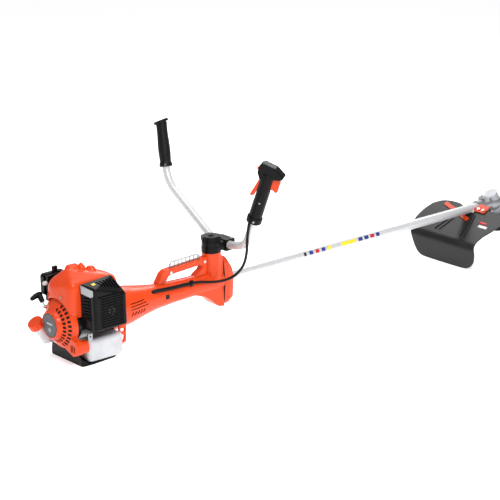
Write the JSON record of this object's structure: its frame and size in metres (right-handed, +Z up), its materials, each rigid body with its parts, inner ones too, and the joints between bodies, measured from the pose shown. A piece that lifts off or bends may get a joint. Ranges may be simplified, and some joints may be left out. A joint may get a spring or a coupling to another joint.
{
  "type": "string trimmer",
  "caption": "Petrol string trimmer: rear engine, straight boom, swivelling U-handle with throttle grip, line head and shield.",
  "frame": {"origin": "centre of the tank guard's foot, on the floor", "axes": "+X towards the cutting end, +Y to the operator's left, +Z up"},
  "size_m": [1.8087, 0.5282, 0.5436],
  "materials": {
    "orange_plastic": "gloss",
    "black_plastic": "satin",
    "black_rubber": "matt",
    "shield_plastic": "satin",
    "badge": "satin",
    "tank": "translucent",
    "primer": "translucent",
    "rope": "braided",
    "filter_felt": "felt",
    "cast_alloy": "cast",
    "tube": "satin anodised",
    "steel": "machined",
    "clutch_lining": "matt",
    "bracket": "gloss",
    "line": "gloss"
  },
  "bodies": {
    "machine": {"crankcase": "cast_alloy", "cylinder": "cast_alloy", "crank_bearings": "steel", "clutch_case": "cast_alloy", "drive_bearings": "steel", "engine_cover": "orange_plastic", "starter_housing": "orange_plastic", "starter_badge": "badge", "recoil_spring": "steel", "starter_rope": "rope", "muffler": "steel", "muffler_cover": "black_plastic", "air_cleaner_case": "black_plastic", "air_cleaner_cover": "black_plastic", "air_filter": "filter_felt", "carburetor": "cast_alloy", "spark_plug": "steel", "plug_cap": "black_rubber", "ignition_coil": "black_plastic", "fuel_tank": "tank", "tank_guard": "black_plastic", "shaft_housing": "orange_plastic", "front_cap": "orange_plastic", "carry_handle": "orange_plastic", "harness_rail": "steel", "screws": "steel", "vibration_mounts": "black_rubber", "throttle_cable": "black_rubber", "cable_clip": "black_plastic", "main_tube": "tube", "shaft_bushings": "black_plastic", "gear_case": "cast_alloy", "shield": "shield_plastic", "shield_bracket": "bracket"},
    "crank": {"crankshaft": "steel", "flywheel": "cast_alloy", "clutch_shoes": "clutch_lining"},
    "piston": {"piston": "steel", "connecting_rod": "steel"},
    "drive": {"clutch_drum": "steel", "drive_shaft": "steel", "bevel_pinion": "steel"},
    "head": {"output_shaft": "steel", "trimmer_head": "black_plastic"},
    "spool": {"bump_spool": "black_plastic", "trimmer_line": "line"},
    "pull_handle": {"starter_handle": "black_rubber"},
    "reel": {"starter_reel": "black_plastic"},
    "steering": {"clamp_base": "black_plastic", "clamp_cap": "black_plastic", "handlebar": "tube", "left_grip": "black_rubber", "throttle_grip": "black_plastic"},
    "knob": {"clamp_knob": "black_plastic"},
    "trigger": {"throttle_trigger": "orange_plastic"},
    "lockout": {"throttle_lockout": "orange_plastic"},
    "switch": {"stop_switch": "orange_plastic"},
    "cap": {"fuel_cap": "orange_plastic"},
    "choke": {"choke_lever": "black_plastic"},
    "primer": {"primer_bulb": "primer"}
  },
  "joints": [
    {"name": "crank_spin", "type": "hinge", "parent": "machine", "child": "crank", "pos_m": [-0.11822, 0, 0.10756], "axis": [0.9996, 0, 0.0295], "continuous": true},
    {"name": "piston_slide", "type": "slide", "parent": "machine", "child": "piston", "axis": [-0.0295, 0, 0.9996], "range_m": [-0.03, 0]},
    {"name": "drive_spin", "type": "hinge", "parent": "machine", "child": "drive", "pos_m": [-0.11822, 0, 0.10756], "axis": [0.9996, 0, 0.0295], "continuous": true},
    {"name": "head_spin", "type": "hinge", "parent": "machine", "child": "head", "pos_m": [1.58103, 0, 0.15772], "axis": [0.5253, 0, -0.8509], "continuous": true},
    {"name": "spool_bump", "type": "slide", "parent": "head", "child": "spool", "axis": [-0.5253, 0, 0.8509], "range_m": [0, 0.004], "stiffness_N_per_m": 600, "springref_m": -0.004},
    {"name": "starter_pull", "type": "slide", "parent": "machine", "child": "pull_handle", "axis": [-0.0209, 0.7071, 0.7068], "range_m": [0, 0.45], "stiffness_N_per_m": 12, "springref_m": -0.4, "deforming": ["starter_rope"]},
    {"name": "reel_spin", "type": "hinge", "parent": "machine", "child": "reel", "pos_m": [-0.11822, 0, 0.10756], "axis": [0.9996, 0, 0.0295], "range_deg": [0, 1110]},
    {"name": "handle_swivel", "type": "hinge", "parent": "machine", "child": "steering", "pos_m": [0.43154, 0, 0.12379], "axis": [-0.0295, 0, 0.9996], "range_deg": [0, 90], "deforming": ["throttle_cable"]},
    {"name": "knob_turn", "type": "hinge", "parent": "steering", "child": "knob", "pos_m": [0.43154, 0, 0.12379], "axis": [-0.0295, 0, 0.9996], "range_deg": [0, 720]},
    {"name": "throttle_squeeze", "type": "hinge", "parent": "steering", "child": "trigger", "pos_m": [0.48637, -0.19538, 0.45008], "axis": [0.8301, 0.5376, 0.1481], "range_deg": [0, 18], "stiffness_Nm_per_rad": 0.6, "springref_deg": -22.92},
    {"name": "lockout_press", "type": "hinge", "parent": "steering", "child": "lockout", "pos_m": [0.47102, -0.16984, 0.44347], "axis": [-0.8301, -0.5376, -0.1481], "range_deg": [0, 7], "stiffness_Nm_per_rad": 0.6, "springref_deg": -17.19},
    {"name": "stop_slide", "type": "slide", "parent": "steering", "child": "switch", "axis": [0.059, -0.3487, 0.9354], "range_m": [0, 0.004]},
    {"name": "cap_turn", "type": "hinge", "parent": "machine", "child": "cap", "pos_m": [-0.08235, 0.064, 0.04459], "axis": [-0.5834, 0, 0.8122], "range_deg": [0, 720]},
    {"name": "choke_turn", "type": "hinge", "parent": "machine", "child": "choke", "pos_m": [-0.02826, 0.076, 0.11021], "axis": [-0.0295, 0, 0.9996], "range_deg": [-60, 0]},
    {"name": "primer_press", "type": "slide", "parent": "machine", "child": "primer", "axis": [0.9996, 0, 0.0295], "range_m": [0, 0.004], "stiffness_N_per_m": 300, "springref_m": -0.002}
  ],
  "couplings": [
    {"joint": "head_spin", "follows": "drive_spin", "ratio": -0.73684},
    {"joint": "reel_spin", "follows": "starter_pull", "rad_per_m": 42.86}
  ]
}
